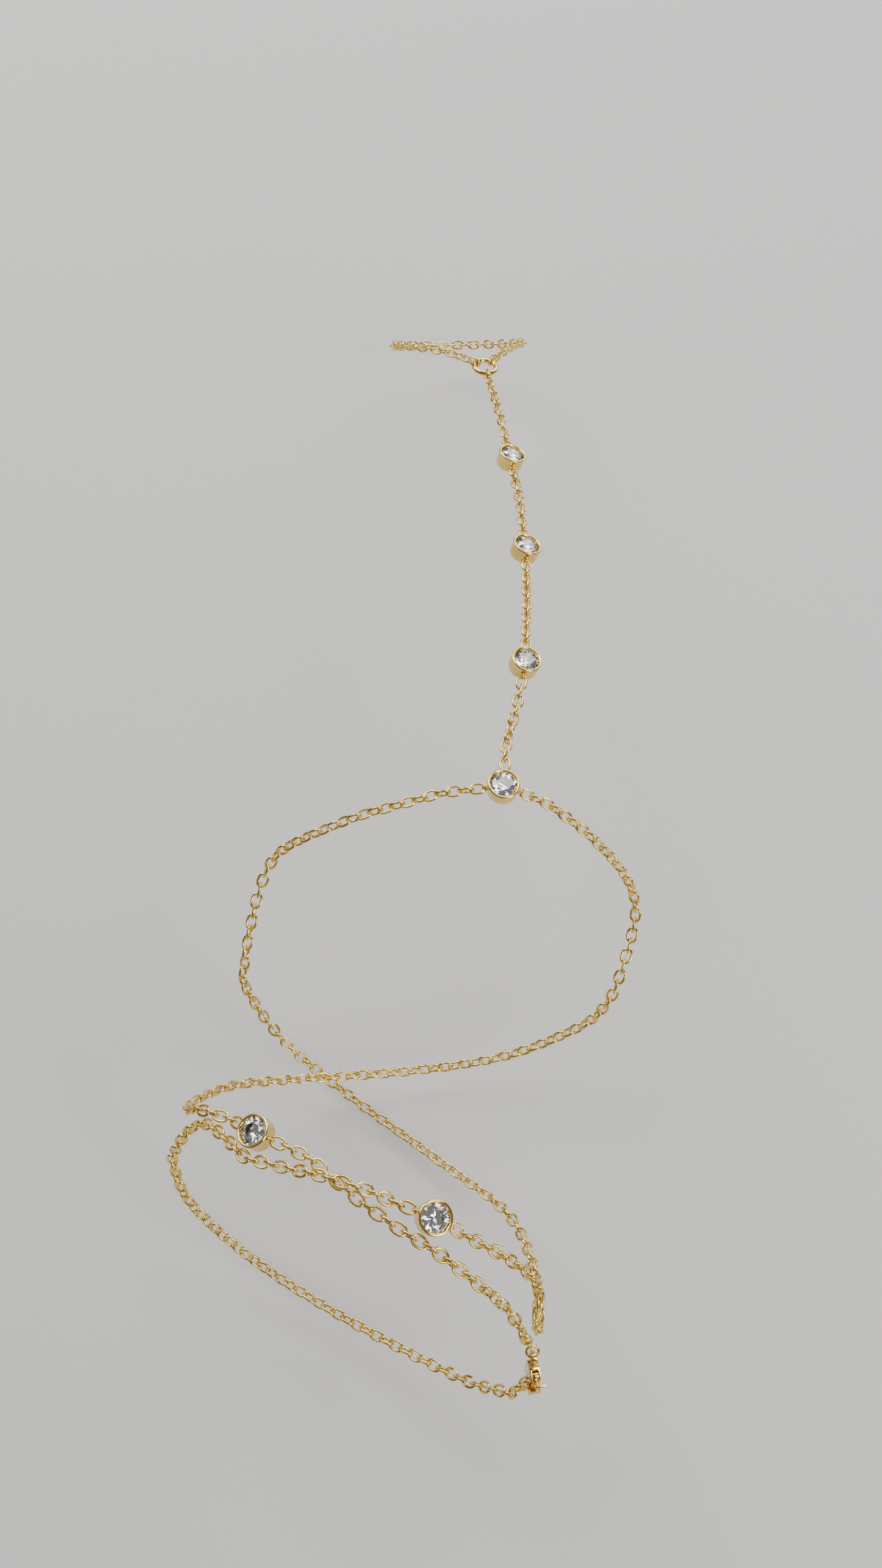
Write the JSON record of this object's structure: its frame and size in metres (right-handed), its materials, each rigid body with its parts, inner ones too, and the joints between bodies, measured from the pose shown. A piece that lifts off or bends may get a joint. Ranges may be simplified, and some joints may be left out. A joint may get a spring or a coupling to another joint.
{
  "type": "hand chain bracelet",
  "caption": "Fine gold-tone hand chain: a finger loop of links, bezel-set clear stones down the back of the hand, a wrist chain, and a double wrap up the forearm closed by a lever clasp.",
  "frame": {"origin": "middle of the wrist hollow, on the arm's axis, level with the wrist chain", "axes": "+X across the arm, to the right as seen from above the back of the hand; +Y along the arm toward the fingers; +Z away from the palm side"},
  "size_m": [0.0775, 0.1997, 0.0504],
  "materials": {
    "gold": "polished yellow gold tone",
    "stone": "clear cut stone"
  },
  "bodies": {
    "jewel": {"finger_loop": "gold", "jump_ring": "gold", "hand_chain_1": "gold", "hand_chain_2": "gold", "hand_chain_3": "gold", "hand_chain_4": "gold", "wrist_chain_left": "gold", "wrist_chain_right": "gold", "lower_chain_1": "gold", "lower_chain_2": "gold", "lower_chain_3": "gold", "lower_chain_4": "gold", "end_chain": "gold", "hidden_run_1": "gold", "hidden_run_2": "gold", "hidden_run_3": "gold", "setting_1": "gold", "setting_2": "gold", "setting_3": "gold", "setting_4": "gold", "setting_5": "gold", "setting_6": "gold", "stone_1": "stone", "stone_2": "stone", "stone_3": "stone", "stone_4": "stone", "stone_5": "stone", "stone_6": "stone", "clasp_ring": "gold", "end_ring": "gold", "clasp_body": "gold"},
    "lever": {"clasp_lever": "gold"}
  },
  "joints": [
    {"name": "lever_hinge", "type": "hinge", "parent": "jewel", "child": "lever", "pos_m": [0.03086, -0.07361, 0.00222], "axis": [0.8972, 0.4298, -0.1012], "range_deg": [0, 10], "stiffness_Nm_per_rad": 0.0002, "springref_deg": -11.46}
  ]
}
